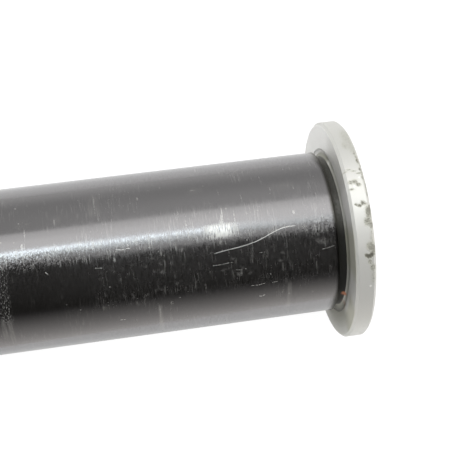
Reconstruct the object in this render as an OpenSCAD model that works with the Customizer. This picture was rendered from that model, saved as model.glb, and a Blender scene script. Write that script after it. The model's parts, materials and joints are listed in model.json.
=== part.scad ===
// Hollow front wheel axle, turned in one piece from steel bar.
// The axis lies along X, with the flange head at +X and the threaded end at -X.
// The origin is on the axis, in the flange's seat face.

/* [Flange head] */
// Diameter of the flange
flange_d = 34; // [30:0.5:42]
// Thickness of the flange
flange_t = 3; // [2:0.1:6]
// Edge break on both rims of the flange
flange_break = 0.4; // [0.1:0.05:0.8]

/* [Journal] */
// Diameter of the journal that carries the wheel bearings
journal_d = 25; // [24:0.1:28]
// Length of the journal, from the seat face to the shoulder at the thread
journal_l = 186; // [120:1:240]
// Lead-in chamfer at the end of the journal
journal_lead = 1; // [0.3:0.1:2]

/* [Relief groove] */
// Radius of the round groove between the journal and the seat face
relief_r = 0.8; // [0.7:0.05:1.2]
// Depth of the groove below the journal
relief_depth = 0.9; // [0.6:0.05:1.1]
// Depth of the groove in the seat face
relief_face_cut = 0.25; // [0.05:0.05:0.4]

/* [Threaded end] */
// Outer diameter of the thread
thread_d = 20; // [18.5:0.5:23]
// Length of the threaded end, from the journal's shoulder
thread_l = 24; // [14:0.5:40]
// Chamfer on the end of the thread
thread_lead = 1.5; // [0.5:0.1:2]
// Width of the run-out groove behind the thread
runout_w = 3.5; // [2:0.1:6]
// Depth of the run-out groove below the thread
runout_depth = 1.15; // [0.6:0.05:1.4]
// Corner radius of the run-out groove
runout_r = 0.8; // [0.2:0.05:1]

/* [Bore] */
// Diameter of the bore through the axle
bore_d = 14; // [8:0.1:14.8]
// Chamfer at the mouth of the bore
bore_lead = 0.7; // [0.2:0.05:1]

/* [Drive socket] */
// Width across the flats of the hexagon socket in the head
hex_af = 17; // [16:0.5:19]
// Depth of the hexagon, from the face of the head
hex_depth = 16; // [8:0.5:30]
// What the mouth of the lead-in chamfer stands out beyond the hexagon's corners
hex_mouth = 0.3; // [0.1:0.05:0.8]
// Clearance of the chip relief around the hexagon's corners
chip_clearance = 0.2; // [0.1:0.05:0.5]
// Length of the chip relief behind the hexagon
chip_l = 3; // [1.5:0.1:6]
// Angle of the drill point that joins the chip relief to the bore
drill_angle = 118; // [90:1:140]

/* [Hidden] */
$fn = 96;
// What a cut runs past a face
past = 1;

journal_r = journal_d / 2;
thread_r = thread_d / 2;
bore_r = bore_d / 2;
// Station of the tip, where the thread ends
tip = -journal_l - thread_l;
// Radius of the hexagon's corners
hex_r = hex_af / 2 / cos(30);
mouth_r = hex_r + hex_mouth;
chip_r = hex_r + chip_clearance;
// Stations along the axis inside the head
chip_start = flange_t - hex_depth;
chip_end = chip_start - chip_l;
// Length of the cone that the drill point leaves between the relief and the bore
drill_l = (chip_r - bore_r) / tan(drill_angle / 2);

// Turns a profile about the axle's axis. A profile's x is the radius, and its y the station along the axle.
module turned() {
    rotate([0, 90, 0]) rotate_extrude() children();
}

// Half section of a bar with a chamfer at its low and its high end
module bar_profile(r, from, to, low_lead = 0, high_lead = 0) {
    polygon([
        [0, from],
        [r - low_lead, from],
        [r, from + low_lead],
        [r, to - high_lead],
        [r - high_lead, to],
        [0, to]
    ]);
}

// Section of a cone between two stations
module cone_profile(from, from_r, to, to_r) {
    polygon([[0, from], [from_r, from], [to_r, to], [0, to]]);
}

module flange_profile() {
    bar_profile(flange_d / 2, 0, flange_t, flange_break, flange_break);
}

// The journal runs into the flange, so that head and shaft are one solid.
module journal_profile() {
    bar_profile(journal_r, -journal_l, flange_t / 2, low_lead = journal_lead);
}

// The threaded end, at the thread's outer diameter, runs into the journal in the same way.
module thread_profile() {
    bar_profile(thread_r, tip, -journal_l + journal_lead, low_lead = thread_lead);
}

// Round relief in the corner of the journal and the seat face
module relief_profile() {
    translate([journal_r - relief_depth + relief_r, relief_face_cut - relief_r]) circle(relief_r);
}

// Run-out groove behind the thread, with round corners at its floor
module runout_profile() {
    floor_r = thread_r - runout_depth;
    corner = min(runout_r, runout_depth, runout_w / 2);
    translate([0, -journal_l]) {
        for (y = [corner, runout_w - corner])
            translate([floor_r + corner, y - runout_w]) circle(corner);
        translate([floor_r, corner - runout_w]) square([runout_depth + past, runout_w - 2 * corner]);
        translate([floor_r + corner, -runout_w]) square([runout_depth - corner + past, runout_w]);
    }
}

// Bore, its mouth at the tip, and the drill point and chip relief behind the socket
module bore_profile() {
    translate([0, tip - past]) square([bore_r, chip_end - tip + past]);
    cone_profile(tip - past, bore_r + bore_lead + past, tip + bore_lead, bore_r);
    cone_profile(chip_end - drill_l, bore_r, chip_end, chip_r);
    translate([0, chip_end]) square([chip_r, chip_l]);
}

// Countersink that leads a key into the socket, and scallops the hexagon's flats
module socket_lead_profile() {
    polygon([[0, flange_t - mouth_r], [mouth_r + past, flange_t + past], [0, flange_t + past]]);
}

module hex_socket() {
    translate([chip_start - past, 0, 0]) rotate([0, 90, 0])
        cylinder(r = hex_r, h = hex_depth + 2 * past, $fn = 6);
}

// The whole axle: head and shaft are turned, then grooved, bored and broached.
module axle() {
    difference() {
        union() {
            color("silver") turned() flange_profile();
            color([0.11, 0.11, 0.115]) turned() journal_profile();
            color("dimgray") turned() thread_profile();
        }
        color([0.11, 0.11, 0.115]) turned() relief_profile();
        color("dimgray") turned() runout_profile();
        color("dimgray") turned() bore_profile();
        color("silver") turned() socket_lead_profile();
        color("silver") hex_socket();
    }
}

axle();
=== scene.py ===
"""Looks of a hollow front wheel axle: black-finished journal, bare flange head, threaded end.

The axle is one turned piece, so it is modelled as one mesh: rings of points that follow the axle's
outline from the tip to the head and back through the bore. Sizes are in millimetres. A place on the
axle is its station along the axis and its angle around, from the top (0) towards the camera (90).
"""

import itertools
import json
import math

import bpy
import numpy as np
from mathutils import Matrix, Vector


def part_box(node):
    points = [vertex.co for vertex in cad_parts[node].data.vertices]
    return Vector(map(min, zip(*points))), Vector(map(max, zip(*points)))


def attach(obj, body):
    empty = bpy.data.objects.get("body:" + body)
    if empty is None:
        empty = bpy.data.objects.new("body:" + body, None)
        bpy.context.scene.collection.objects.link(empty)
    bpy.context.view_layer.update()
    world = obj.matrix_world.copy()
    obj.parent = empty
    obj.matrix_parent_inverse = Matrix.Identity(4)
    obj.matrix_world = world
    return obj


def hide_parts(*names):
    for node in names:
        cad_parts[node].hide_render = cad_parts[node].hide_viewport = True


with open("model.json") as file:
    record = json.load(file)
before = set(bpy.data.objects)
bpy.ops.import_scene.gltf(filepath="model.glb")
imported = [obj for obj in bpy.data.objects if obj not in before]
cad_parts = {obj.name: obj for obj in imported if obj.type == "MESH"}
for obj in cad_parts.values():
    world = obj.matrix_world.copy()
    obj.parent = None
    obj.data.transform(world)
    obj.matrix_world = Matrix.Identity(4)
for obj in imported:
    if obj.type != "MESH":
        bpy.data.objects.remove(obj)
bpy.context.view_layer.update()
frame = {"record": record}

MM = 0.001
DEG = math.pi / 180

# Sizes that the frame gives
low_corner, high_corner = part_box("axle")
mounts = {mount["name"]: mount for mount in frame["record"]["mounts"]}


def mount_size(mount, key):
    return mounts[mount]["dims"][key]


tip = low_corner.x / MM
flange_t = high_corner.x / MM
flange_r = high_corner.z / MM
journal_r = mount_size("journal", "r_mm")
thread_r = mount_size("thread", "r_mm")
bore_r = mount_size("bore", "r_mm")
thread_inner_end = mounts["thread"]["pos_m"][0] / MM + mount_size("thread", "length_mm") / 2

# Turned details, as on the solid part
flange_break = 0.4
journal_lead = 1.0
journal_end = -186.0
relief_r = 0.8
relief_depth = 0.9
relief_face_cut = 0.25
relief_steps = 24
# Steps of the groove's outer wall that are bare, like the seat face
bare_wall_steps = 11
runout_depth = 1.15
runout_corner = 0.8
thread_lead = 1.5
bore_lead = 0.7
hex_flat_r = 8.5
hex_mouth = 0.3
hex_depth = 16.0
chip_clearance = 0.2
chip_l = 3.0
drill_half_angle = 59 * DEG
hex_corner_r = hex_flat_r / math.cos(math.pi / 6)

# Metric thread: its depth and its flats follow from its pitch
thread_pitch = 1.5
thread_depth = 0.5413 * thread_pitch
crest_flat = thread_pitch / 8
root_flat = thread_pitch / 4
thread_row_step = 0.125

# Fineness of the mesh
shaft_segments = 240
rim_segments = 720
rim_row_step = 0.12
edge_rounding = 0.09
corner_steps = 4
support_gap = 0.05
# Flat ring on each face of the flange in which the rim's finer rings are sewn to the coarser ones
sewing_width = 1.0
# What the finer rings take up of each face inside the edge break
fine_margin = 4 * edge_rounding
sharp_angle = 32 * DEG

BLACK, BARE, THREAD, BORE = range(4)


# Outline of the turned axle

def rounded(corners):
    """Points of an outline whose corners (station, radius, rounding) become arcs.

    Each arc has a support row on each side. A rounding of 0 keeps a corner as it is.
    """
    points = []
    for i, (station, radius, rounding) in enumerate(corners):
        here = np.array([station, radius])
        if rounding == 0 or i in (0, len(corners) - 1):
            points.append(here)
            continue
        before = here - np.array(corners[i - 1][:2])
        after = np.array(corners[i + 1][:2]) - here
        before /= np.linalg.norm(before)
        after /= np.linalg.norm(after)
        turn = math.acos(float(np.clip(before @ after, -1, 1)))
        reach = rounding * math.tan(turn / 2)
        inward = after - before
        centre = here + inward / np.linalg.norm(inward) * rounding / math.cos(turn / 2)
        start = here - before * reach - centre
        side = math.copysign(1, before[0] * after[1] - before[1] * after[0])
        points.append(here - before * (reach + support_gap))
        for step in range(corner_steps + 1):
            angle = side * turn * step / corner_steps
            c, s = math.cos(angle), math.sin(angle)
            points.append(centre + np.array([c * start[0] - s * start[1], s * start[0] + c * start[1]]))
        points.append(here + after * (reach + support_gap))
    return points


def around(segments):
    return np.arange(segments) * 2 * math.pi / segments


def hex_radius(angles):
    """Radius of the hexagon socket's wall, with a corner at the top."""
    from_corner = (angles + math.pi / 6) % (math.pi / 3) - math.pi / 6
    return hex_flat_r / np.cos(math.pi / 6 - np.abs(from_corner))


def thread_radius(station, angles):
    """Radius of the right-hand thread at a station, cut off by the chamfer at the tip."""
    phase = (station / thread_pitch - angles / (2 * math.pi)) % 1
    from_crest = np.abs(phase - 0.5) * thread_pitch
    flank = (from_crest - crest_flat / 2) / (thread_pitch / 2 - crest_flat / 2 - root_flat / 2)
    form = thread_r - thread_depth * np.clip(flank, 0, 1)
    return np.minimum(form, thread_r - thread_lead + station - tip)


class Rings:
    """Rings of points along the outline. Each strip between two rings takes the finish of its first ring."""

    def __init__(self):
        self.stations = []
        self.radii = []
        self.finishes = []

    def add(self, station, radius, finish, segments=shaft_segments):
        self.stations.append(np.zeros(segments) + station)
        self.radii.append(np.zeros(segments) + radius)
        self.finishes.append(finish)

    def follow(self, points, finish, segments=shaft_segments):
        for station, radius in points:
            self.add(station, radius, finish, segments)


def relief_arc():
    """Round groove in the corner of the journal and the seat face."""
    centre_station = relief_face_cut - relief_r
    centre_r = journal_r - relief_depth + relief_r
    first = math.atan2(journal_r - centre_r, -math.sqrt(relief_r ** 2 - (journal_r - centre_r) ** 2))
    last = math.atan2(math.sqrt(relief_r ** 2 - centre_station ** 2), -centre_station) + 2 * math.pi
    angles = np.linspace(first, last, relief_steps + 1)
    return [(centre_station + relief_r * math.cos(a), centre_r + relief_r * math.sin(a)) for a in angles]


def outline_rings():
    rings = Rings()
    turn = around(shaft_segments)

    # Threaded end, from the mouth of the bore
    rings.follow(rounded([
        (tip + 2 * bore_lead, bore_r, 0),
        (tip + bore_lead, bore_r, edge_rounding),
        (tip, bore_r + bore_lead, edge_rounding),
        (tip, thread_r - thread_lead, 0),
    ])[1:-1], THREAD)
    for station in np.arange(tip, thread_inner_end - thread_row_step / 2, thread_row_step):
        rings.add(station, thread_radius(station, turn), THREAD)
    rings.add(thread_inner_end, thread_radius(thread_inner_end, turn), THREAD)

    # Run-out groove, shoulder and the end of the journal
    runout_r = thread_r - runout_depth
    relief = relief_arc()
    rings.follow(rounded([
        (thread_inner_end, thread_r, 0),
        (thread_inner_end, runout_r, runout_corner),
        (journal_end, runout_r, runout_corner),
        (journal_end, journal_r - journal_lead, 0),
    ])[1:-1], THREAD)
    rings.follow(rounded([
        (journal_end, runout_r + runout_corner, 0),
        (journal_end, journal_r - journal_lead, edge_rounding),
        (journal_end + journal_lead, journal_r, edge_rounding),
        (relief[0][0], journal_r, 0),
    ])[1:-1], BLACK)

    # Journal and the relief groove at the flange
    rings.add(relief[0][0] - support_gap, journal_r, BLACK)
    rings.follow(relief[:-bare_wall_steps], BLACK)
    rings.follow(relief[-bare_wall_steps:] + [(0, relief[-1][1] + support_gap)], BARE)

    # Flange: the finer rings start and end on its flat faces
    face_r = flange_r - flange_break - fine_margin
    rings.add(0, face_r - sewing_width, BARE)
    rim = rounded([
        (0, face_r, 0),
        (0, flange_r - flange_break, edge_rounding),
        (flange_break, flange_r, edge_rounding),
        (flange_t / 2, flange_r, 0),
    ])[:-1]
    far_rim = [(flange_t - station, radius) for station, radius in reversed(rim)]
    rows = np.arange(rim[-1][0] + rim_row_step, far_rim[0][0] - rim_row_step / 2, rim_row_step)
    rings.follow(rim + [(station, flange_r) for station in rows] + far_rim, BARE, rim_segments)
    rings.add(flange_t, face_r - sewing_width, BARE)

    # Hexagon socket: the lead-in chamfer meets each flat in a curve
    wall = hex_radius(turn)
    mouth_r = hex_corner_r + hex_mouth
    rings.add(flange_t, mouth_r + support_gap, BARE)
    rings.add(flange_t, mouth_r, BARE)
    rings.add(flange_t - support_gap, mouth_r - support_gap, BARE)
    rings.add(flange_t - (mouth_r - wall), wall, BARE)
    rings.add(flange_t - (mouth_r - wall) - support_gap, wall, BORE)
    socket_end = flange_t - hex_depth
    rings.add(socket_end + support_gap, wall, BORE)
    rings.add(socket_end, wall, BORE)

    # Chip relief, drill point and bore back to the tip
    chip_r = hex_corner_r + chip_clearance
    chip_end = socket_end - chip_l
    drill_end = chip_end - (chip_r - bore_r) / math.tan(drill_half_angle)
    rings.follow(rounded([
        (socket_end, hex_flat_r, 0),
        (socket_end, chip_r, edge_rounding),
        (chip_end, chip_r, edge_rounding),
        (drill_end, bore_r, edge_rounding),
        (tip + bore_lead, bore_r, 0),
    ])[2:-1], BORE)
    return rings


# Dents and pits on the flange's rim

# Station, angle around, half length along the axis, half width around, and depth of each mark
rim_marks = [
    # Stains without a dent
    (2.3, -24.0, 0.8, 2.0, 0.0),
    (2.5, -15.0, 0.6, 1.6, 0.0),
    (1.6, -17.0, 0.5, 0.9, 0.0),
    (2.6, 34.0, 0.35, 1.0, 0.0),
    (2.5, 54.0, 0.4, 1.0, 0.0),
    # Crack across the rim
    (0.3, 0.2, 0.4, 0.12, 0.03),
    (0.9, -1.0, 0.4, 0.12, 0.04),
    (1.6, 0.1, 0.4, 0.12, 0.04),
    (2.3, 1.6, 0.4, 0.14, 0.05),
    # Nibbled edge of the head
    (2.45, -10.5, 0.15, 0.3, 0.03),
    (2.55, -8.3, 0.16, 0.3, 0.03),
    (2.6, -5.6, 0.25, 0.45, 0.06),
    (2.8, -3.0, 0.16, 0.4, 0.04),
    (2.6, -0.6, 0.2, 0.26, 0.05),
    (2.8, 1.4, 0.16, 0.5, 0.05),
    (2.7, 4.2, 0.2, 0.36, 0.05),
    (2.85, 8.2, 0.16, 0.8, 0.05),
    (2.9, 12.4, 0.2, 0.6, 0.05),
    (2.8, 20.5, 0.3, 0.6, 0.06),
    # Pitted patches
    (0.75, 6.2, 0.35, 0.3, 0.04),
    (1.4, 5.9, 0.4, 0.35, 0.05),
    (1.85, 7.7, 0.35, 0.3, 0.05),
    (0.7, 9.8, 0.35, 0.18, 0.05),
    (2.5, 22.0, 0.4, 0.9, 0.06),
    (2.2, 26.4, 0.5, 0.6, 0.05),
    (2.7, 28.1, 0.35, 0.5, 0.05),
    (2.2, 38.3, 0.55, 0.6, 0.05),
    (2.6, 40.0, 0.45, 0.8, 0.06),
    (2.0, 46.0, 0.3, 0.35, 0.04),
    (2.4, 49.0, 0.4, 0.5, 0.04),
    # Two dark gouges
    (0.95, 17.6, 0.25, 0.16, 0.07),
    (1.4, 18.3, 0.3, 0.2, 0.09),
    (1.9, 17.1, 0.25, 0.3, 0.08),
    (2.25, 17.7, 0.2, 0.2, 0.06),
    (1.5, 42.5, 0.2, 0.24, 0.11),
    (1.9, 43.1, 0.35, 0.26, 0.16),
    (2.35, 42.6, 0.25, 0.3, 0.14),
]
# Marks on the rest of the rim: how many, between which angles, and over which share of the rim's width
other_marks = 60
other_angles = (115, 300)
other_reach = 0.7
other_sizes = (0.15, 0.6)
other_depths = (0.02, 0.09)
marks_seed = 7
# How far, in sizes of a mark, its dent and its dirt reach, and how ragged its edge is
dent_reach = 1.2
dirt_reach = 1.7
raggedness = 0.35
ragged_around = 260
ragged_along = 17
ragged_shift = 9
# Dirt in a mark without depth, and what each millimetre of depth adds
dirt_level = 0.45
dirt_per_depth = 6


def at_share(span, share):
    return span[0] + (span[1] - span[0]) * share


def all_rim_marks():
    """The marks that the camera sees, and like ones on the rest of the rim, mostly at the head's edge."""
    draw = np.random.RandomState(marks_seed)
    marks = list(rim_marks)
    for _ in range(other_marks):
        station = flange_t * (1 - other_reach * draw.rand() ** 1.5)
        angle = at_share(other_angles, draw.rand())
        size = at_share(other_sizes, draw.rand() ** 2)
        width = size * (0.5 + draw.rand())
        marks.append((station, angle, size, width, at_share(other_depths, draw.rand())))
    return marks


def rim_damage(stations, angles):
    """Depth of the marks in the rim, and how much dirt they hold, at each point of a ring."""
    depth = np.zeros(len(angles))
    dirt = np.zeros(len(angles))
    for station, angle, half_l, half_w, deep in all_rim_marks():
        turn = (angles - angle * DEG + math.pi) % (2 * math.pi) - math.pi
        waves_around = np.sin(turn * ragged_around + station * ragged_shift)
        waves_along = np.sin(stations * ragged_along + angle)
        ragged = 1 + raggedness * waves_around * waves_along
        away = np.hypot((stations - station) / half_l, turn * flange_r / half_w) * ragged
        depth = np.maximum(depth, deep * np.clip(dent_reach - away, 0, 1))
        dirt = np.maximum(dirt, np.clip(dirt_reach - away, 0, 1) * (dirt_level + dirt_per_depth * deep))
    return depth, dirt


def axle_mesh():
    """One closed mesh from the rings. A ring next to one with three times its points is sewn to it."""
    rings = outline_rings()
    points = []
    dirt = []
    starts = []
    for stations, radii in zip(rings.stations, rings.radii):
        starts.append(len(points))
        angles = around(len(radii))
        ring_dirt = np.zeros(len(radii))
        if len(radii) == rim_segments:
            depth, ring_dirt = rim_damage(stations, angles)
            radii = radii - depth
        points.extend(np.stack([stations, -radii * np.sin(angles), radii * np.cos(angles)], 1) * MM)
        dirt.extend(ring_dirt)

    faces = []
    finishes = []
    count = len(starts)
    for i in range(count):
        j = (i + 1) % count
        strip = sewn(starts[i], len(rings.radii[i]), starts[j], len(rings.radii[j]))
        faces.extend(strip)
        finishes.extend([rings.finishes[i]] * len(strip))
    mesh = bpy.data.meshes.new("axle_steel")
    mesh.from_pydata(points, [], faces)
    mesh.polygons.foreach_set("material_index", finishes)
    mesh.polygons.foreach_set("use_smooth", [True] * len(faces))
    mesh.attributes.new("dirt", "FLOAT", "POINT").data.foreach_set("value", dirt)
    mesh.validate()
    mesh.set_sharp_from_angle(angle=sharp_angle)
    return mesh


def sewn(first, first_count, second, second_count):
    """Faces between two rings."""
    if first_count == second_count:
        return [
            (first + k, first + (k + 1) % first_count, second + (k + 1) % first_count, second + k)
            for k in range(first_count)
        ]
    if first_count > second_count:
        return [tuple(reversed(face)) for face in sewn(second, second_count, first, first_count)]
    share = second_count // first_count
    faces = []
    for k in range(first_count):
        left, right = first + k, first + (k + 1) % first_count
        fine = [second + (k * share + step) % second_count for step in range(share + 1)]
        middle = (share + 1) // 2
        faces.extend((left, fine[step + 1], fine[step]) for step in range(middle))
        faces.append((left, right, fine[middle]))
        faces.extend((right, fine[step + 1], fine[step]) for step in range(middle, share))
    return faces


# Node helpers

def feed(tree, socket, value):
    if isinstance(value, bpy.types.NodeSocket):
        tree.links.new(value, socket)
    else:
        socket.default_value = value


def node(tree, kind, inputs=None, **settings):
    made = tree.nodes.new(kind)
    for name, value in settings.items():
        setattr(made, name, value)
    for name, value in (inputs or {}).items():
        feed(tree, made.inputs[name], value)
    return made


def math_of(tree, operation, *values, clamp=False):
    made = tree.nodes.new("ShaderNodeMath")
    made.operation = operation
    made.use_clamp = clamp
    for socket, value in zip(made.inputs, values):
        feed(tree, socket, value)
    return made.outputs[0]


def times(tree, *values):
    """Product of some values."""
    product = values[0]
    for value in values[1:]:
        product = math_of(tree, "MULTIPLY", product, value)
    return product


def away_from(tree, value, centre):
    """Distance of a value from a centre."""
    return math_of(tree, "ABSOLUTE", math_of(tree, "SUBTRACT", value, centre))


def vector_of(tree, operation, first, second=None):
    """Vector made from one or two others. SCALE takes a number as the second."""
    inputs = {0: first}
    if second is not None:
        inputs["Scale" if operation == "SCALE" else 1] = second
    return node(tree, "ShaderNodeVectorMath", inputs, operation=operation).outputs[0]


def noise(tree, position, scale, detail):
    inputs = {"Vector": position, "Scale": scale, "Detail": detail}
    return node(tree, "ShaderNodeTexNoise", inputs).outputs[0]


def noise_along(tree, value, scale, detail):
    """Noise that changes along one value."""
    inputs = {"W": value, "Scale": scale, "Detail": detail}
    return node(tree, "ShaderNodeTexNoise", inputs, noise_dimensions="1D").outputs[0]


def ramp(tree, value, low, high, to_low=0.0, to_high=1.0):
    """Smooth step of a value between two levels."""
    inputs = {"Value": value, "From Min": low, "From Max": high, "To Min": to_low, "To Max": to_high}
    return node(tree, "ShaderNodeMapRange", inputs, interpolation_type="SMOOTHSTEP").outputs[0]


def between(tree, value, rise, fall, outside=0.0):
    """1 between two soft borders, each given by its start and its end, and less outside them."""
    return times(tree, ramp(tree, value, *rise, outside), ramp(tree, value, *fall, outside))


def eased(tree, mask, first, second):
    """Smooth change from one value, where a mask is 0, to another, where it is 1."""
    return ramp(tree, mask, 0.0, 1.0, first, second)


def most_of(tree, masks):
    """Highest of some masks.

    Each is joined as soon as it is made, so that a shader holds few of them at a time.
    """
    total = None
    for mask in masks:
        total = mask if total is None else math_of(tree, "MAXIMUM", total, mask)
    return total


def mixed(tree, share, first, second):
    """Colour between two colours."""
    made = node(tree, "ShaderNodeMix", data_type="RGBA")
    feed(tree, made.inputs[0], share)
    feed(tree, made.inputs[6], first)
    feed(tree, made.inputs[7], second)
    return made.outputs[2]


def blended(tree, share, first, second):
    """Value between two values."""
    made = node(tree, "ShaderNodeMix", data_type="FLOAT")
    feed(tree, made.inputs[0], share)
    feed(tree, made.inputs[2], first)
    feed(tree, made.inputs[3], second)
    return made.outputs[0]


def new_group(name, inputs, outputs):
    """Empty node group with named inputs, as (name, kind, value), and outputs, as (name, kind)."""
    tree = bpy.data.node_groups.new(name, "ShaderNodeTree")
    for socket, kind, value in inputs:
        made = tree.interface.new_socket(socket, in_out="INPUT", socket_type=kind)
        if value is not None:
            made.default_value = value
    for socket, kind in outputs:
        tree.interface.new_socket(socket, in_out="OUTPUT", socket_type=kind)
    return tree, tree.nodes.new("NodeGroupInput").outputs, tree.nodes.new("NodeGroupOutput").inputs


def placed(tree, group, **inputs):
    """Group node with its inputs set. A name's underscores stand for spaces."""
    made = tree.nodes.new("ShaderNodeGroup")
    made.node_tree = group
    for name, value in inputs.items():
        feed(tree, made.inputs[name.replace("_", " ")], value)
    return made.outputs


def cleared_tree(owner):
    """Empty node tree of a new material or world."""
    owner.use_nodes = True
    owner.node_tree.nodes.clear()
    return owner.node_tree


def show(tree, shader, output="ShaderNodeOutputMaterial"):
    """Joins a shader to the output of its tree."""
    tree.links.new(shader.outputs[0], node(tree, output).inputs["Surface"])


FLOAT = "NodeSocketFloat"
VECTOR = "NodeSocketVector"


# Effects that the finishes share

def place_group():
    """Position in millimetres, station along the axis, radius from it, and arc length from the top."""
    tree, _, out = new_group("place_on_axle", [], [
        ("Position", VECTOR), ("Station", FLOAT), ("Radius", FLOAT), ("Arc", FLOAT),
    ])
    coordinates = node(tree, "ShaderNodeTexCoord").outputs["Object"]
    position = vector_of(tree, "SCALE", coordinates, 1 / MM)
    parts = node(tree, "ShaderNodeSeparateXYZ", {0: position}).outputs
    toward_camera = times(tree, parts["Y"], -1.0)
    angle = math_of(tree, "ARCTAN2", toward_camera, parts["Z"])
    squares = [times(tree, parts[axis], parts[axis]) for axis in "YZ"]
    radius = math_of(tree, "SQRT", math_of(tree, "ADD", *squares))
    feed(tree, out["Position"], position)
    feed(tree, out["Station"], parts["X"])
    feed(tree, out["Radius"], radius)
    feed(tree, out["Arc"], times(tree, angle, radius))
    return tree


def grain_group():
    """Noise drawn out around the axis: fine lines that turning and polishing leave."""
    tree, given, out = new_group("turned_grain", [
        ("Position", VECTOR, None), ("Line Width", FLOAT, 0.1), ("Line Length", FLOAT, 3.0),
        ("Detail", FLOAT, 3.0),
    ], [("Lines", FLOAT)])
    across = math_of(tree, "DIVIDE", 1.0, given["Line Width"])
    along = math_of(tree, "DIVIDE", 1.0, given["Line Length"])
    scale = node(tree, "ShaderNodeCombineXYZ", {"X": across, "Y": along, "Z": along}).outputs[0]
    stretched = vector_of(tree, "MULTIPLY", given["Position"], scale)
    feed(tree, out["Lines"], noise(tree, stretched, 1.0, given["Detail"]))
    return tree


def scratch_group():
    """One scratch along the axle, drawn from one place to another with an S-shaped bow."""
    tree, given, out = new_group("scratch", [
        ("Station", FLOAT, 0.0), ("Arc", FLOAT, 0.0), ("From Station", FLOAT, 0.0), ("From Arc", FLOAT, 0.0),
        ("To Station", FLOAT, 1.0), ("To Arc", FLOAT, 0.0), ("Bow", FLOAT, 0.0), ("Width", FLOAT, 0.1),
    ], [("Mask", FLOAT)])
    length = math_of(tree, "SUBTRACT", given["To Station"], given["From Station"])
    run = math_of(tree, "SUBTRACT", given["Station"], given["From Station"])
    share = math_of(tree, "DIVIDE", run, length)
    inside = between(tree, share, (-0.02, 0.03), (1.02, 0.93))
    held = math_of(tree, "ADD", share, 0.0, clamp=True)
    # The power makes the first half of the S longer than the second.
    wave = math_of(tree, "SINE", times(tree, math_of(tree, "POWER", held, 1.6), 2 * math.pi))
    line = blended(tree, held, given["From Arc"], given["To Arc"])
    path = math_of(tree, "MULTIPLY_ADD", wave, given["Bow"], line)
    away = math_of(tree, "DIVIDE", away_from(tree, given["Arc"], path), given["Width"])
    feed(tree, out["Mask"], times(tree, ramp(tree, away, 0.7, 0.3), inside))
    return tree


def rub_group():
    """Soft-edged patch between two arcs at a station, where something has rubbed around the axle."""
    tree, given, out = new_group("rub", [
        ("Station", FLOAT, 0.0), ("Arc", FLOAT, 0.0), ("Centre", FLOAT, 0.0), ("Width", FLOAT, 1.0),
        ("From Arc", FLOAT, 0.0), ("To Arc", FLOAT, 1.0), ("Fade", FLOAT, 1.0),
    ], [("Mask", FLOAT)])
    away = math_of(tree, "DIVIDE", away_from(tree, given["Station"], given["Centre"]), given["Width"])
    near = ramp(tree, away, 0.6, 0.2)
    past_start = math_of(tree, "SUBTRACT", given["Arc"], given["From Arc"])
    start = math_of(tree, "DIVIDE", past_start, given["Fade"])
    before_end = math_of(tree, "SUBTRACT", given["To Arc"], given["Arc"])
    end = math_of(tree, "DIVIDE", before_end, given["Fade"])
    span = times(tree, ramp(tree, start, 0.0, 1.0), ramp(tree, end, 0.0, 1.0))
    feed(tree, out["Mask"], times(tree, near, span))
    return tree


def speck_group():
    """Small scattered spots, one in some of the cells of a grid."""
    tree, given, out = new_group("specks", [
        ("Position", VECTOR, None), ("Cell", FLOAT, 1.0), ("Size", FLOAT, 0.15), ("Share", FLOAT, 0.3),
    ], [("Mask", FLOAT)])
    scale = math_of(tree, "DIVIDE", 1.0, given["Cell"])
    cells = node(tree, "ShaderNodeTexVoronoi", {"Vector": given["Position"], "Scale": scale})
    chance = node(tree, "ShaderNodeSeparateColor", {0: cells.outputs["Color"]}).outputs
    reach = times(tree, given["Size"], chance["Green"])
    spot = ramp(tree, math_of(tree, "DIVIDE", cells.outputs["Distance"], reach), 1.0, 0.5)
    kept = math_of(tree, "LESS_THAN", chance["Red"], given["Share"])
    feed(tree, out["Mask"], times(tree, spot, kept))
    return tree


def facet_group():
    """Normal of a surface of tiny facets."""
    tree, given, out = new_group("facets", [
        ("Position", VECTOR, None), ("Cell", FLOAT, 0.16), ("Tilt", FLOAT, 0.1),
    ], [("Normal", VECTOR)])
    scale = math_of(tree, "DIVIDE", 1.0, given["Cell"])
    cells = node(tree, "ShaderNodeTexVoronoi", {"Vector": given["Position"], "Scale": scale})
    chance = vector_of(tree, "SUBTRACT", cells.outputs["Color"], (0.5, 0.5, 0.5))
    leaning = vector_of(tree, "SCALE", chance, given["Tilt"])
    normal = node(tree, "ShaderNodeNewGeometry").outputs["Normal"]
    tilted = vector_of(tree, "ADD", normal, leaning)
    feed(tree, out["Normal"], vector_of(tree, "NORMALIZE", tilted))
    return tree


place = place_group()
grain = grain_group()
scratch = scratch_group()
rub = rub_group()
specks = speck_group()
facets = facet_group()


# Finishes

def new_finish(name):
    material = bpy.data.materials.new(name)
    tree = cleared_tree(material)
    shader = node(tree, "ShaderNodeBsdfPrincipled")
    show(tree, shader)
    return material, tree, shader


# Scratches on the journal: from station and angle, to station and angle, bow and width
journal_scratches = [
    (-19.6, 34.0, -7.3, 22.4, 1.5, 0.12),
    (-20.1, 41.9, -17.0, 41.4, 0.2, 0.1),
    (-3.8, 40.3, -1.9, 39.0, 0.1, 0.09),
    (-13.1, 37.2, -12.2, 37.1, 0.0, 0.07),
    (-14.7, 60.1, -12.4, 60.0, 0.3, 0.08),
    (-11.5, 59.7, -10.6, 59.5, 0.0, 0.07),
    (-13.5, 70.0, -12.5, 69.9, 0.3, 0.09),
    (-16.7, 46.8, -15.8, 47.4, 0.0, 0.07),
    (-36.7, 33.4, -35.7, 34.0, 0.0, 0.1),
    (-33.5, 23.2, -31.4, 23.7, 0.3, 0.08),
    (-34.1, 75.2, -33.3, 75.4, 0.0, 0.08),
    (-43.7, 32.0, -43.2, 34.0, 0.0, 0.16),
]
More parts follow.
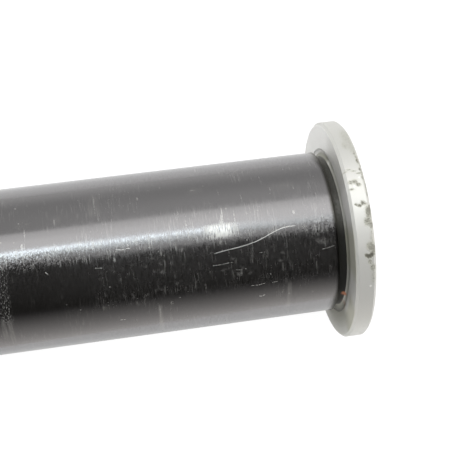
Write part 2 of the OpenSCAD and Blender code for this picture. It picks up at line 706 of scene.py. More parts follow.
# Rubbed streaks around the journal: station, width, from angle, to angle, and strength
journal_rubs = [
    (-17.7, 0.14, 1, 16, 0.9),
    (-17.9, 0.3, 7, 17, 0.8),
    (-18.0, 0.7, 11, 18, 0.7),
    (-16.0, 0.14, 5, 18, 0.8),
    (-16.1, 0.3, 11, 22, 0.8),
    (-15.8, 0.3, 15, 26, 0.6),
    (-22.1, 0.25, 13, 22, 0.7),
    (-23.1, 0.3, 8, 18, 0.4),
    (-22.9, 0.35, 15, 24, 0.7),
    (-17.3, 0.25, 42, 47, 0.5),
    (-17.5, 0.8, 49, 59, 0.2),
    (-14.0, 0.25, 30, 38, 0.45),
    (-12.0, 0.3, 38, 42, 0.5),
    (-21.3, 0.3, 50, 63, 0.4),
    (-14.5, 0.2, -7, 3, 0.25),
    (-11.1, 0.3, -23, -9, 0.2),
    (-21.3, 0.8, -15, -12, 0.2),
    (-17.7, 0.15, -14, -3, 0.2),
    (-14.1, 0.3, 8, 11, 0.6),
    (-7.3, 0.4, 11, 15, 0.6),
    (-14.1, 0.8, 31, 43, 0.25),
    (-12.2, 0.9, 35, 44, 0.25),
    (-12.8, 1.5, 50, 60, 0.22),
    (-47.1, 0.4, -18, -15, 0.3),
    (-34.1, 0.3, 30, 40, 0.35),
    (-46.0, 0.2, 0, 12, 0.4),
    (-41.7, 0.2, -6, 3, 0.35),
    (-35.8, 0.2, -23, 1, 0.3),
    (-29.7, 0.16, -12, 3, 0.2),
    (-29.5, 0.3, -14, -10, 0.5),
    (-9.9, 0.5, 66, 71, 0.5),
    (-10.0, 0.4, -9, -4, 0.2),
    (-6.5, 0.4, -7, -3, 0.25),
    (-33.9, 0.45, 27, 32, 0.9),
    (-46.4, 0.6, 11, 16, 1.0),
    (-4.2, 0.4, 28, 32, 0.6),
    (-26.4, 0.5, 63, 68, 0.5),
]
# Worn places on the journal, with thin light lines and sparkling specks, in the same way
worn_places = [
    (-40.0, 40.0, 12, 34, 1.0),
    (-26.0, 14.0, 16, 62, 1.0),
    (-12.0, 24.0, 18, 62, 1.0),
    (-3.6, 5.0, 14, 46, 1.0),
    (-32.0, 14.0, 26, 68, 0.9),
    (-44.5, 12.0, 24, 58, 0.45),
]
# Soft smears of dust around the journal, in the same way
journal_smears = [
    (-28.1, 0.7, 62, 100, 0.3),
    (-8.9, 0.8, 57, 90, 0.22),
    (-9.4, 0.5, 55, 64, 0.2),
    (-8.0, 16.0, 62, 104, 0.05),
    (-49.7, 0.8, 58, 84, 0.25),
    (-50.6, 0.8, 56, 82, 0.25),
    (-35.9, 2.0, -22, 2, 0.16),
    (-41.5, 1.6, -8, 3, 0.12),
    (-8.0, 4.0, -14, -2, 0.12),
    (-21.0, 2.5, -18, -8, 0.1),
]
# Dusty places, in the same way
dusty_places = [
    (-50.0, 2.4, 18, 70, 1.0),
    (-51.6, 2.6, 32, 58, 0.6),
    (-23.0, 6.0, 44, 62, 0.45),
    (-46.3, 2.5, -8, 4, 0.5),
]
# Rust in the corner of the groove: station, angle around, radius from the axis, size and strength
rust_spots = [
    (-0.12, 85, 11.75, 0.65, 1.0),
    (-0.1, 97, 12.5, 1.0, 0.3),
]
rust = (0.56, 0.22, 0.11, 1)
# Small bright chips on the flange's rim, in the same way
rim_chips = [
    (2.04, 59, 17.0, 0.26, 1.0),
    (2.2, 4.0, 17.0, 0.22, 0.8),
    (1.2, 8.3, 17.0, 0.2, 0.8),
]
arc_per_degree = journal_r * DEG
# The short marks come back on the length and the side that the photo does not show:
# every so far along, turned
wear_repeat = 56.0
wear_turn = 41 * arc_per_degree
wear_side = (-60 * arc_per_degree, 120 * arc_per_degree)
# Longest fade of a mark's ends
mark_fade = 1.5

# Colours
dark_steel = (0.253, 0.247, 0.248, 1)
bare_steel = (0.66, 0.65, 0.62, 1)
fresh_steel = (0.92, 0.91, 0.88, 1)
turned_steel = (0.74, 0.73, 0.69, 1)
pale_turned_steel = (0.765, 0.755, 0.715, 1)
soot = (0.052, 0.05, 0.042, 1)
# Painted shade in the groove, and pale soot that also paints the groove lighter at its top and foot
painted_groove_shade = (0.014, 0.0135, 0.011, 1)
pale_soot_and_groove_light = (0.18, 0.176, 0.16, 1)
dust_colour = (0.5, 0.49, 0.45, 1)
# Warm film that also paints shade on the seat face
warm_film_and_shade = (0.46, 0.45, 0.32, 1)
# Grey for the painted shade on the rim's foot and for its darker top
rim_darkening_grey = (0.4, 0.4, 0.37, 1)
# Olive grime that also paints shade by the groove and on the seat face's foot
olive_grime_and_shade = (0.2, 0.195, 0.14, 1)
stain = (0.41, 0.4, 0.28, 1)
packed_dirt = (0.08, 0.075, 0.055, 1)
# How much of its light the black finish still mirrors at a flat angle
edge_tint = (0.93, 0.93, 0.93, 1)

# Noises: scale and detail
gap_noise = (2.6, 2.0)
cloud_noise = (0.16, 2.0)
patchy_noise = (0.5, 2.0)
blotch_noise = (1.3, 5.0)
broken_noise = (3.5, 3.0)
ring_noise = (2.2, 3.0)
mottle_noise = (4.0, 3.0)
fleck_noise = (7.0, 4.0)
# Levels of a noise between which something shows, and how strongly it shows below and above them
gap_levels = (0.38, 0.56, 0.2, 1.0)
cloud_levels = (0.42, 0.62)
patchy_levels = (0.4, 0.58, 0.2, 1.0)
light_line_levels = (0.53, 0.72)
powder_levels = (0.46, 0.68)
soot_powder_levels = (0.5, 0.7, 0.0, 0.2)
streak_levels = (0.25, 0.65, 0.3, 1.0)
haze_levels = (0.5, 0.72)
patch_levels = (0.38, 0.55)
broken_levels = (0.8, 1.15)
groove_highlight_levels = (0.35, 0.65, 0.1, 0.9)
middle_levels = (0.3, 0.7)

# Patterns of the black finish
fine_lines = {"Line_Width": 0.14, "Line_Length": 1.1}
polishing_lines = {"Line_Width": 0.22, "Line_Length": 2.2}
powder_grain = {"Line_Width": 0.13, "Line_Length": 0.32}
sparkle_specks = {"Cell": 0.32, "Size": 0.42, "Share": 0.22}
dust_grains = {"Cell": 0.9, "Size": 0.2, "Share": 0.15}
bright_patch = {"Centre": -18.35, "Width": 5.2, "From_Arc": 3.0, "To_Arc": 5.6, "Fade": 0.6}
# How strongly each kind of wear and dust shows
cloudy_wear = 0.3
light_line_strength = 0.5
sparkle_strength = 0.6
dust_strength = 0.4
powder_strength = 0.4
haze_strength = 0.26
# Polishing lines take over from the grain between these stations, and the grain comes back by the head.
grain_fade = (-46.0, -34.0)
least_grain = 0.35
least_lines = 0.3
head_grain = (-8.0, -4.0)
# Soft borders, along the arc, of the grain
grain_arcs = (2.8, 5.0), (11.0, 8.0)
grain_outside = 0.1
grain_tilt = 0.1
polish_roughness = 0.12
line_roughness = 0.14
rubbed_roughness = 0.6
patch_roughness = 0.3
soot_roughness = 0.7

# Soot of the groove: how far it reaches onto the journal in the middle of the camera's side and away from it
soot_middle = 6.0
soot_ends = (9.0, 14.5)
soot_reach = (0.6, 1.5)
# The matt groove's soft border, which reaches further onto the journal at the groove's foot
groove_border = 0.1
foot_arc = 24.0
foot_span = (8.0, 4.0)
foot_reach = 0.9
# Soft borders, along the arc, of the darker soot, outside which the groove is painted lighter at its top and
# foot, and of the painted shade
dark_groove_arcs = (-11.0, -5.0), (25.0, 18.0)
groove_shade_arcs = (4.0, 7.0), (18.5, 16.0)
# Painted highlight on the groove's far side: where it lies around the arc, and where it starts along the
# groove
groove_highlight_arc = 2.6
groove_highlight_span = (2.8, 1.0)
groove_highlight_start = (0.2, 0.6)
groove_highlight_strength = 0.5

# Seat face and rim: soft borders around the axle, as angles or arcs
top_angles = (-24 * DEG, -38 * DEG)
foot_angles = (84 * DEG, 102 * DEG)
outside_angles = (168 * DEG, 135 * DEG)
# Ring of painted shade and dirt by the groove's lip, between these arcs
lip_shade_arcs = (3.5, 6.0), (16.5, 13.5)
# Painted light on the seat face: how much lighter its top is painted, and a painted highlight around this
# angle
face_highlight_angle = 16 * DEG
face_highlight_span = (14 * DEG, 6 * DEG)
face_light_strengths = (0.8, 0.9)
# Warm film on the seat face, which also paints shade on it below the painted highlight
warm_shade_angles = (24 * DEG, 34 * DEG), (62 * DEG, 50 * DEG)
low_warm_angle = 87 * DEG
low_warm_span = (18 * DEG, 8 * DEG)
warm_strengths = (0.5, 0.6)
# Painted shade on the rim's foot, and a darker top: where each lies around, and how strong each is
rim_shade_angles = (36 * DEG, 44 * DEG), (106 * DEG, 78 * DEG)
rim_top_darkening_angles = (16 * DEG, -16 * DEG)
rim_darkening_strengths = (0.22, 0.24)
# Turned lines of bare steel, the height of their bump, and how much the roughness varies
turned_lines = {"Line_Width": 0.12, "Line_Length": 4.0}
line_height = 0.02 * MM
roughness_spread = 0.04
# How ragged the dirt in the dents is, and from which amount of dirt it shows
dirt_raggedness = 1.6
dirt_levels = (0.5, 0.85)
# Stain and packed dirt by the amount of dirt
stain_levels = (0.05, 0.9, 0.0, 0.5)
packed_levels = (0.8, 1.3, 0.78, 0.97)
# Soft borders of the seat's side, as a distance from it, and of the rim, from the flange's radius
seat_border = (1.5, 1.2)
rim_border = (0.45, 0.25)


def repeated_place(tree, station, arc):
    """Station and arc at which the marks of the photographed length are looked up again, further along."""
    repeat = math_of(tree, "FLOOR", math_of(tree, "DIVIDE", station, -wear_repeat))
    turned = math_of(tree, "MULTIPLY_ADD", repeat, wear_turn, arc)
    return (math_of(tree, "MULTIPLY_ADD", repeat, wear_repeat, station),
            math_of(tree, "WRAP", turned, wear_side[1], wear_side[0]))


def journal_marks(tree, station, arc):
    """Scratches along the axle, and streaks rubbed around it.

    The long scratch, first in its list, is there once, and unbroken.
    """
    again = repeated_place(tree, station, arc)
    short = most_of(tree, scratch_masks(tree, *again, journal_scratches[1:]))
    gaps = noise_along(tree, station, *gap_noise)
    short = times(tree, short, ramp(tree, gaps, *gap_levels))
    long_mask = scratch_masks(tree, station, arc, journal_scratches[:1])
    scratched = most_of(tree, itertools.chain([short], long_mask))
    return scratched, most_of(tree, marked_places(tree, *again, journal_rubs))


def scratch_masks(tree, station, arc, scratches):
    for s0, a0, s1, a1, bow, width in scratches:
        yield placed(tree, scratch, Station=station, Arc=arc, From_Station=s0, From_Arc=a0 * arc_per_degree,
                     To_Station=s1, To_Arc=a1 * arc_per_degree, Bow=bow * arc_per_degree, Width=width)["Mask"]


def marked_places(tree, station, arc, places):
    """Masks of places on the journal, each as strong as its list says."""
    for centre, width, a0, a1, strength in places:
        start, end = a0 * arc_per_degree, a1 * arc_per_degree
        mask = placed(tree, rub, Station=station, Arc=arc, Centre=centre, Width=width,
                      From_Arc=start, To_Arc=end, Fade=min(mark_fade, (end - start) / 2))["Mask"]
        yield times(tree, strength, mask)


def spots_mask(tree, position, places):
    """Round soft spots, each as strong as its list says."""
    spots = []
    for station, angle, radius, size, strength in places:
        centre = (station, -radius * math.sin(angle * DEG), radius * math.cos(angle * DEG))
        apart = node(tree, "ShaderNodeVectorMath", {0: position, 1: centre}, operation="DISTANCE")
        away = math_of(tree, "DIVIDE", apart.outputs["Value"], size)
        spots.append(ramp(tree, away, 1.0, 0.3, 0.0, strength))
    return most_of(tree, spots)


def groove_soot_and_painted_light(tree, station, arc, powder, blotches):
    """Where soot covers the groove and the journal's end, where it is matt, and its colour, with painted
    light: lighter at the top and the foot, a painted highlight, and painted shade between them.
    """
    groove_start = relief_arc()[0][0]
    near_end = ramp(tree, away_from(tree, arc, soot_middle), *soot_ends)
    soot_start = eased(tree, near_end, groove_start - soot_reach[0], groove_start - soot_reach[1])
    sooty = ramp(tree, station, soot_start, groove_start)
    near_foot = ramp(tree, away_from(tree, arc, foot_arc), *foot_span)
    matt_start = eased(tree, near_foot, groove_start - groove_border, groove_start - foot_reach)
    in_groove = ramp(tree, station, matt_start, groove_start + groove_border)
    # Darker soot between these arcs; outside them the groove is painted lighter, at its top and at its foot
    covered = between(tree, arc, *dark_groove_arcs)
    # Painted highlight on the groove's far side, broken up by blotches
    groove_highlight = times(
        tree,
        ramp(tree, away_from(tree, arc, groove_highlight_arc), *groove_highlight_span),
        ramp(tree, blotches, *groove_highlight_levels),
        ramp(tree, station, groove_start + groove_highlight_start[0], groove_start + groove_highlight_start[1]),
        groove_highlight_strength,
    )
    colour = mixed(tree, math_of(tree, "SUBTRACT", covered, groove_highlight), pale_soot_and_groove_light, soot)
    # Painted shade in the groove, further round than its painted highlight
    deep = between(tree, arc, *groove_shade_arcs)
    colour = mixed(tree, ramp(tree, powder, *soot_powder_levels), colour, pale_soot_and_groove_light)
    return sooty, in_groove, mixed(tree, deep, colour, painted_groove_shade)


def black_finish():
    """Blackened, polished steel with grain, polishing lines, scratches, rubbed places, dust, and soot with
    painted light and shade in the groove.
    """
    material, tree, shader = new_finish("black_finish")
    feed(tree, shader.inputs["Specular Tint"], edge_tint)
    at = placed(tree, place)
    position, station, arc = at["Position"], at["Station"], at["Arc"]
    scratched, rubbed = journal_marks(tree, station, arc)

    fine = placed(tree, grain, Position=position, **fine_lines)["Lines"]
    lines = placed(tree, grain, Position=position, **polishing_lines)["Lines"]
    clouds = noise(tree, position, *cloud_noise)

    # Wear: thin light lines and specks, more of them in some places than in others
    wear = ramp(tree, clouds, *cloud_levels)
    light_lines = ramp(tree, lines, *light_line_levels)
    sparkle = placed(tree, specks, Position=position, **sparkle_specks)["Mask"]
    handled = most_of(tree, marked_places(tree, station, arc, worn_places))
    patchy = noise(tree, position, *patchy_noise)
    handled = times(tree, handled, ramp(tree, patchy, *patchy_levels))
    worn_down = math_of(tree, "MAXIMUM", times(tree, wear, cloudy_wear), handled)

    # Dust: single grains, powder in some places, smears, and a thin haze where the journal is worn
    dust = placed(tree, specks, Position=position, **dust_grains)["Mask"]
    powder = placed(tree, grain, Position=position, **powder_grain)["Lines"]
    dusty = most_of(tree, marked_places(tree, station, arc, dusty_places))
    powdered = times(tree, ramp(tree, powder, *powder_levels), dusty)
    streaks = ramp(tree, lines, *streak_levels)
    smeared = times(tree, streaks, most_of(tree, marked_places(tree, station, arc, journal_smears)))
    blotches = noise(tree, position, *blotch_noise)
    haze = times(tree, ramp(tree, blotches, *haze_levels), handled)
    pale = most_of(tree, [
        times(tree, dust, dust_strength),
        times(tree, powdered, powder_strength),
        times(tree, haze, haze_strength),
        smeared,
    ])

    # Bright steel: scratches, broken streaks, a worn patch, and the lines and specks of the worn places
    patch = placed(tree, rub, Station=station, Arc=arc, **bright_patch)["Mask"]
    worn = times(tree, patch, ramp(tree, fine, *patch_levels))
    broken = noise(tree, position, *broken_noise)
    rubbed = times(tree, rubbed, ramp(tree, math_of(tree, "ADD", broken, lines), *broken_levels))
    bright = most_of(tree, [
        scratched, rubbed, worn,
        times(tree, light_lines, worn_down, light_line_strength),
        times(tree, sparkle, worn_down, sparkle_strength),
    ])

    # Soot of the groove, with painted light and shade in it
    sooty, in_groove, groove_colour_and_painted_light = groove_soot_and_painted_light(tree, station, arc, powder, blotches)
    colour = mixed(tree, scratched, mixed(tree, bright, dark_steel, bare_steel), fresh_steel)
    colour = mixed(tree, sooty, mixed(tree, pale, colour, dust_colour), groove_colour_and_painted_light)
    colour = mixed(tree, spots_mask(tree, position, rust_spots), colour, rust)
    feed(tree, shader.inputs["Base Color"], colour)
    covered = math_of(tree, "MAXIMUM", pale, in_groove)
    feed(tree, shader.inputs["Metallic"], eased(tree, covered, 1.0, 0.0))
    lined = ramp(tree, station, *grain_fade, least_lines, 1.0)
    streaky = times(tree, ramp(tree, fine, *middle_levels), lined)
    polish = math_of(tree, "MULTIPLY_ADD", streaky, line_roughness, polish_roughness)
    dull = blended(tree, worn, blended(tree, bright, polish, rubbed_roughness), patch_roughness)
    feed(tree, shader.inputs["Roughness"], blended(tree, in_groove, dull, soot_roughness))

    # Grain: tiny facets, each tilted by chance, stronger in some places than in others
    grainy = math_of(tree, "MAXIMUM", ramp(tree, station, *grain_fade, 1.0, least_grain),
                     ramp(tree, station, *head_grain))
    tilt = between(tree, arc, *grain_arcs, outside=grain_outside)
    tilt = times(tree, tilt, times(tree, grainy, grain_tilt))
    feed(tree, shader.inputs["Normal"], placed(tree, facets, Position=position, Tilt=tilt)["Normal"])
    return material


def seat_shade_and_grime(tree, radius, arc, top_end, foot_end):
    """Painted shade, with some dirt, on the groove's wall, in a ring on the seat face outside the groove's
    lip, and at the foot.
    """
    lip_r = relief_arc()[-1][1]
    # Ring of painted shade and dirt on the camera's side
    ring = ramp(tree, away_from(tree, radius, lip_r + 0.2), 0.5, 0.15, 0.0, 0.55)
    ring = times(tree, ring, between(tree, arc, *lip_shade_arcs))
    # Wall, up to the lip, with painted shade and dirt, more of it at its top and at its foot than between
    # them
    at_top = times(tree, top_end, ramp(tree, radius, lip_r - 0.85, lip_r - 0.3, 0.9, 0.0))
    wall = ramp(tree, radius, lip_r - 0.15, lip_r + 0.1, 0.45, 0.0)
    wall = times(tree, wall, eased(tree, top_end, 1.0, 0.0))
    at_foot = times(tree, foot_end, ramp(tree, radius, lip_r - 0.9, lip_r - 0.1, 0.9, 0.65))
    wall = most_of(tree, [wall, at_top, at_foot])
    wall = times(tree, wall, ramp(tree, radius, lip_r + 0.1, lip_r - 0.05))
    # Painted shade on the foot of the seat face, where a thin line by the lip stays a little lighter
    low = times(tree, foot_end, ramp(tree, radius, lip_r + 4.8, lip_r, 0.0, 0.9))
    low = times(tree, low, ramp(tree, away_from(tree, radius, lip_r - 0.2), 0.1, 0.28, 0.65, 1.0))
    return most_of(tree, [ring, wall, low])


def seat_tone_and_painted_light(tree, tone, radius, angle, top_end, on_face):
    """Painted light on the seat face, at its top and in a highlight further down; below, a warm film that
    also paints shade.
    """
    lip_r = relief_arc()[-1][1]
    # Painted light: the top of the face is painted lighter, and a painted highlight lies further down
    painted_highlight = most_of(tree, [
        times(tree, top_end, face_light_strengths[0]),
        ramp(tree, away_from(tree, angle, face_highlight_angle), *face_highlight_span, 0.0, face_light_strengths[1]),
    ])
    tone = mixed(tree, times(tree, painted_highlight, on_face), tone, fresh_steel)
    # Warm film, which also paints shade below the painted highlight
    start, end = warm_shade_angles
    film_and_shade = times(tree, ramp(tree, angle, *start, 0.0, warm_strengths[0]), ramp(tree, angle, *end))
    low_warm = ramp(tree, away_from(tree, angle, low_warm_angle), *low_warm_span, 0.0, warm_strengths[1])
    low_warm = times(tree, low_warm, ramp(tree, radius, lip_r + 0.4, lip_r + 1.4))
    film_and_shade = math_of(tree, "MAXIMUM", film_and_shade, low_warm)
    return mixed(tree, times(tree, film_and_shade, on_face), tone, warm_film_and_shade)


def rim_painted_shade(tree, angle, outside):
    """Painted shade on the rim's foot, which ends its highlight there, and a darker top."""
    at_foot = times(tree, between(tree, angle, *rim_shade_angles), rim_darkening_strengths[0])
    at_top = times(tree, ramp(tree, angle, *rim_top_darkening_angles, 0.0, rim_darkening_strengths[1]), outside)
    return math_of(tree, "MAXIMUM", at_foot, at_top)


def bare_finish(name, metal, roughness, grain_strength):
    """Bare satin steel, with rings from turning, dirt in its dents, painted shade and dirt by the groove,
    painted light and a warm film on the seat face, painted shade and a darker top on the rim, and rust.
    """
    material, tree, shader = new_finish(name)
    at = placed(tree, place)
    position, station, radius, arc = at["Position"], at["Station"], at["Radius"], at["Arc"]
    lines = placed(tree, grain, Position=position, **turned_lines)["Lines"]
    turned = noise_along(tree, radius, *ring_noise)
    mottle = noise(tree, position, *mottle_noise)
    dirt = node(tree, "ShaderNodeAttribute", attribute_name="dirt").outputs["Fac"]
    flecks = noise(tree, position, *fleck_noise)
    ragged = math_of(tree, "MULTIPLY_ADD", flecks, dirt_raggedness, -dirt_raggedness / 2)
    held = ramp(tree, math_of(tree, "ADD", dirt, ragged), *dirt_levels)

    # Zones around the axle and across the flange. None has a step on the side that the camera doesn't see.
    angle = math_of(tree, "DIVIDE", arc, radius)
    outside = ramp(tree, math_of(tree, "ABSOLUTE", angle), *outside_angles)
    top_end = times(tree, ramp(tree, angle, *top_angles), outside)
    foot_end = times(tree, ramp(tree, angle, *foot_angles), outside)
    at_seat = ramp(tree, math_of(tree, "ABSOLUTE", station), *seat_border)
    on_rim = ramp(tree, radius, flange_r - rim_border[0], flange_r - rim_border[1])
    on_face = times(tree, at_seat, eased(tree, on_rim, 1.0, 0.0))

    tone = mixed(tree, ramp(tree, turned, *middle_levels), turned_steel, pale_turned_steel)
    tone = seat_tone_and_painted_light(tree, tone, radius, angle, top_end, on_face)
    # Painted shade, with some grime, by the groove and on the seat face's foot
    shade_and_grime = seat_shade_and_grime(tree, radius, arc, top_end, foot_end)
    tone = mixed(tree, times(tree, shade_and_grime, at_seat), tone, olive_grime_and_shade)
    # Painted shade on the rim's foot, and a darker top
    tone = mixed(tree, times(tree, rim_painted_shade(tree, angle, outside), on_rim), tone, rim_darkening_grey)
    tone = mixed(tree, ramp(tree, dirt, *stain_levels), tone, stain)
    filled = times(tree, held, ramp(tree, dirt, *packed_levels))
    colour = mixed(tree, filled, tone, packed_dirt)
    colour = mixed(tree, spots_mask(tree, position, rim_chips), colour, fresh_steel)
    colour = mixed(tree, spots_mask(tree, position, rust_spots), colour, rust)
    feed(tree, shader.inputs["Base Color"], colour)
    feed(tree, shader.inputs["Metallic"], eased(tree, held, metal, 0.0))
    spread = roughness - roughness_spread, roughness + roughness_spread
    feed(tree, shader.inputs["Roughness"], ramp(tree, mottle, *middle_levels, *spread))
    relief = {"Height": lines, "Strength": grain_strength, "Distance": line_height}
    feed(tree, shader.inputs["Normal"], node(tree, "ShaderNodeBump", relief).outputs[0])
    return material


def make_axle():
    axle = bpy.data.objects.new("axle_steel", axle_mesh())
    bpy.context.scene.collection.objects.link(axle)
    for finish in (
        black_finish(),
        bare_finish("bare_flange", 0.55, 0.48, 0.1),
        bare_finish("bare_thread", 0.9, 0.35, 0.15),
        bare_finish("bored_steel", 0.9, 0.5, 0.2),
    ):
        axle.data.materials.append(finish)
    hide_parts("axle")
    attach(axle, "root")


# Camera, fitted to the photo's outlines

photo_px = 452
focal_px = 1000
sensor_mm = 36.0
# Where the centre of the flange's seat face lies in the photo, and how far from the camera
seat_px = (327.6, 230.05)
seat_depth = 158.4
# Rise of the axle's axis in the picture, and its lean away from the camera
axis_rise = 7.2 * DEG
axis_lean = 6.56 * DEG
camera_elevation = 60 * DEG

# The axle rests on the flange's rim and on the end of the journal, so the floor leans a little in its frame.
floor_slope = (flange_r - journal_r) / (flange_break - journal_end - journal_lead)
floor_normal = Vector((floor_slope, 0, 1)).normalized()
floor_point = Vector((flange_break, 0, -flange_r)) * MM


def make_camera():
    axis = Vector((
        math.cos(axis_lean) * math.cos(axis_rise),
        math.cos(axis_lean) * math.sin(axis_rise),
        -math.sin(axis_lean),
    ))
    # The camera's roll is the one at which the floor's normal makes its known angle with the axis.
    flat = math.cos(camera_elevation)
    reach = (floor_normal.x - axis.z * math.sin(camera_elevation)) / (flat * math.hypot(axis.x, axis.y))
    roll = math.asin(reach) - math.atan2(axis.y, axis.x)
    up = Vector((math.sin(roll) * flat, math.cos(roll) * flat, math.sin(camera_elevation)))
    part_z = (up - up.dot(axis) * axis).normalized()
    part_y = part_z.cross(axis)
    to_part = Matrix((axis, part_y, part_z))
    offset = [(pixel - photo_px / 2) / focal_px for pixel in seat_px]
    seat = Vector((offset[0], -offset[1], -1)) * seat_depth * MM

    data = bpy.data.cameras.new("camera")
    data.sensor_width = sensor_mm
    data.lens = sensor_mm * focal_px / photo_px
    data.clip_start = 0.01
    camera = bpy.data.objects.new("camera", data)
    camera.matrix_world = Matrix.Translation(-(to_part @ seat)) @ to_part.to_4x4()
    bpy.context.scene.collection.objects.link(camera)
    bpy.context.scene.camera = camera


# Studio

floor_half = 2.0
floor_colour = (0.16, 0.16, 0.16, 1)
floor_glow = 0.92
# The floor as reflections show it: paler, and more of its tone is shaded by what stands on it
mirrored_floor_colour = (0.58, 0.58, 0.58, 1)
mirrored_floor_glow = 0.4

# Sky that reflections show, from the horizon up. It is brighter next to the softbox, towards the head's side.
horizon_level = 0.9
sky_level = 0.6
high_sky_level = 0.18
# Fill that falls on matt places: from the camera's side, from behind, and from the thread's end, low and high
front_fill_level = 1.05
back_fill_level = 0.48
end_fill_level = 0.14
high_end_fill_level = 1.1
# Direction, across and up, towards which the fill from the thread's end rises
end_fill_rise = (0.5, 0.87)
# More fill from a direction between the camera and the top
lobe_fill_level = 2.3
lobe_turn = 35 * DEG

# Softbox over the axle, dimmer towards its far border: where each of its layers ends, and how bright it is
box_height = 0.5
softbox_x = (-0.8, 0.6)
softbox_front = -0.07
softbox_layers = [(0.2, 0.64), (0.175, 0.14), (0.13, 0.1), (0.09, 0.2)]
layer_drop = 0.002
# Cooler strip in front of the softbox, to the border that the journal mirrors above its dark side
cool_front = -0.12
cool_level = 1.1
cool_colour = (0.86, 0.97, 1)
# Bright blue-white strip under them
strip_x = (-0.6, 0.04)
strip_y = (-0.068, -0.034)
strip_drop = 0.01
strip_level = 3.7
strip_colour = (0.76, 0.91, 1)

# Dark card on the camera's side: its radius, where it starts and ends around, and how high its edge is
dark_level = 0.03
dark_card_tone = (1, 0.97, 0.87, 1)
dark_card_r = 1.2
dark_card_from = -190
dark_card_to = 10
dark_card_step = 10
dark_card_rows = 10
dark_card_top = 66 * DEG
# The card's edge rises a little towards the thread's end.
dark_card_middle = -90 * DEG
dark_card_lean = 0.06

# Graded card on the floor: it is white at this distance from the axle, and its tone falls off beyond
apron_tone = (1, 0.975, 0.95, 1)
apron_white = 0.026
apron_falloff = 1.3
apron_reach = 1.22
apron_turn = -7 * DEG
apron_lift = 0.5 * MM


def ray_kinds(tree):
    """1 for a ray from the camera, and 1 for a reflected or refracted one."""
    path = node(tree, "ShaderNodeLightPath").outputs
    return path["Is Camera Ray"], most_of(tree, [path["Is Glossy Ray"], path["Is Transmission Ray"]])


def stage_mesh(name, points, faces, material):
    mesh = bpy.data.meshes.new(name)
    mesh.from_pydata(points, [], faces)
    mesh.materials.append(material)
    thing = bpy.data.objects.new(name, mesh)
    bpy.context.scene.collection.objects.link(thing)
    return thing


def make_floor():
    material = bpy.data.materials.new("white_floor")
    tree = cleared_tree(material)
    seen, mirrored = ray_kinds(tree)
    colour = mixed(tree, mirrored, floor_colour, mirrored_floor_colour)
    paper = node(tree, "ShaderNodeBsdfDiffuse", {"Color": colour})
    level = blended(tree, mirrored, times(tree, seen, floor_glow), mirrored_floor_glow)
    glow = node(tree, "ShaderNodeEmission", {"Strength": level})
    show(tree, node(tree, "ShaderNodeAddShader", {0: paper.outputs[0], 1: glow.outputs[0]}))
    corners = []
    for x, y in ((-1, -1), (1, -1), (1, 1), (-1, 1)):
        height = floor_point.z - (x * floor_half - floor_point.x) * floor_slope
        corners.append((x * floor_half, y * floor_half, height))
    stage_mesh("floor", corners, [(0, 1, 2, 3)], material)


def card_material(name, tone):
    material = bpy.data.materials.new(name)
    tree = cleared_tree(material)
    glow = node(tree, "ShaderNodeEmission", {"Color": tone, "Strength": dark_level})
    show(tree, glow)
    return material, tree, glow


def hide_card(card):
    """A card shows only in reflections."""
    card.visible_camera = False
    card.visible_diffuse = False
    card.visible_shadow = False


def make_dark_side():
    """Dark curved card on the camera's side, which the polished journal mirrors."""
    material, _, _ = card_material("dark_card", dark_card_tone)
    turns = [turn * DEG for turn in range(dark_card_from, dark_card_to + 1, dark_card_step)]
    points = []
    for row in range(dark_card_rows + 1):
        for turn in turns:
            top = dark_card_top - dark_card_lean * (turn - dark_card_middle)
            rise = top * row / dark_card_rows
            across = dark_card_r * math.cos(rise)
            points.append((across * math.cos(turn), across * math.sin(turn),
                           dark_card_r * math.sin(rise) - flange_r * MM))
    width = len(turns)
    faces = [
        (i * width + j, i * width + j + 1, (i + 1) * width + j + 1, (i + 1) * width + j)
        for i in range(dark_card_rows) for j in range(width - 1)
    ]
    hide_card(stage_mesh("dark_card", points, faces, material))


def make_apron():
    """Graded card on the floor in front of the axle, white at its near edge and dark at its far one."""
    material, tree, glow = card_material("graded_card", apron_tone)
    coordinates = node(tree, "ShaderNodeTexCoord").outputs["Object"]
    parts = node(tree, "ShaderNodeSeparateXYZ", {0: coordinates}).outputs
    away = math_of(tree, "DIVIDE", apron_white, times(tree, parts["Y"], -1.0))
    level = math_of(tree, "ADD", math_of(tree, "POWER", away, apron_falloff), dark_level)
    feed(tree, glow.inputs["Strength"], level)
    near, side = -apron_white, floor_half / 2
    corners = [(-side, near, 0), (side, near, 0), (side, -apron_reach, 0), (-side, -apron_reach, 0)]
    apron = stage_mesh("graded_card", corners, [(0, 1, 2, 3)], material)
    place_it = Matrix.Translation(floor_point + floor_normal * apron_lift)
    lean = Matrix.Rotation(math.atan(floor_slope), 4, "Y")
    apron.matrix_world = place_it @ lean @ Matrix.Rotation(apron_turn, 4, "Z")
    hide_card(apron)


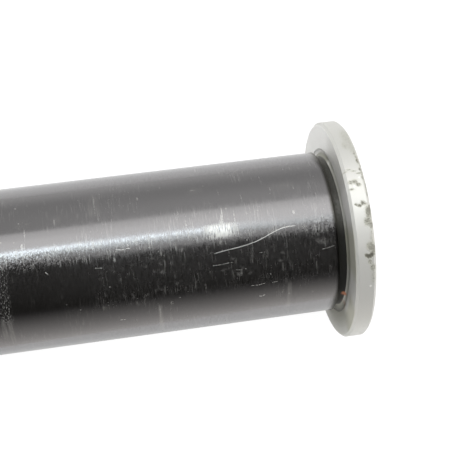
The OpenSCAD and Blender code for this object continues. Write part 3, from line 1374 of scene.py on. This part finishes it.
def make_lamp(name, x_range, y_range, height, level, colour):
    """Flat lamp that faces down, whose surface has the given brightness."""
    size_x = x_range[1] - x_range[0]
    size_y = y_range[1] - y_range[0]
    data = bpy.data.lights.new(name, "AREA")
    data.shape = "RECTANGLE"
    data.size = size_x
    data.size_y = size_y
    data.energy = level * math.pi * size_x * size_y
    data.color = colour
    lamp = bpy.data.objects.new(name, data)
    lamp.location = (sum(x_range) / 2, sum(y_range) / 2, height)
    lamp.visible_camera = False
    bpy.context.scene.collection.objects.link(lamp)


def make_lamps():
    for layer, (border, level) in enumerate(softbox_layers):
        height = box_height - layer * layer_drop
        make_lamp(f"softbox_{layer}", softbox_x, (softbox_front, border), height, level, (1, 1, 1))
    make_lamp("cool_strip", softbox_x, (cool_front, softbox_front), box_height, cool_level, cool_colour)
    make_lamp("strip", strip_x, strip_y, box_height - strip_drop, strip_level, strip_colour)


def make_world():
    world = bpy.data.worlds.new("white_studio")
    tree = cleared_tree(world)
    seen, mirrored = ray_kinds(tree)
    direction = node(tree, "ShaderNodeTexCoord").outputs["Generated"]
    toward = node(tree, "ShaderNodeSeparateXYZ", {0: direction}).outputs

    def leaning(across, up):
        """How far the ray goes towards a direction given across the axle and up."""
        return math_of(tree, "MULTIPLY_ADD", toward["Y"], across, times(tree, toward["Z"], up))

    sky = ramp(tree, toward["Z"], 0.0, 0.45, horizon_level, sky_level)
    high_sky = ramp(tree, toward["Z"], 0.5, 0.85, 0.0, high_sky_level)
    sky = math_of(tree, "MULTIPLY_ADD", high_sky, ramp(tree, toward["X"], -0.2, 0.15), sky)
    end_fill = ramp(tree, leaning(*end_fill_rise), 0.05, 0.7, end_fill_level, high_end_fill_level)
    side_fill = ramp(tree, toward["Y"], -0.8, 0.6, front_fill_level, back_fill_level)
    near_lobe = leaning(-math.sin(lobe_turn), math.cos(lobe_turn))
    lobe_fill = ramp(tree, near_lobe, 0.8, 0.97, 0.0, lobe_fill_level)
    side_fill = math_of(tree, "ADD", side_fill, lobe_fill)
    fill = ramp(tree, toward["X"], -0.9, 0.3, end_fill, side_fill)
    level = blended(tree, seen, blended(tree, mirrored, fill, sky), 1.0)
    background = node(tree, "ShaderNodeBackground", {"Color": (1, 1, 1, 1), "Strength": level})
    show(tree, background, "ShaderNodeOutputWorld")
    bpy.context.scene.world = world


make_axle()
make_camera()
make_floor()
make_dark_side()
make_apron()
make_lamps()
make_world()
bpy.context.scene.view_settings.view_transform = "Standard"
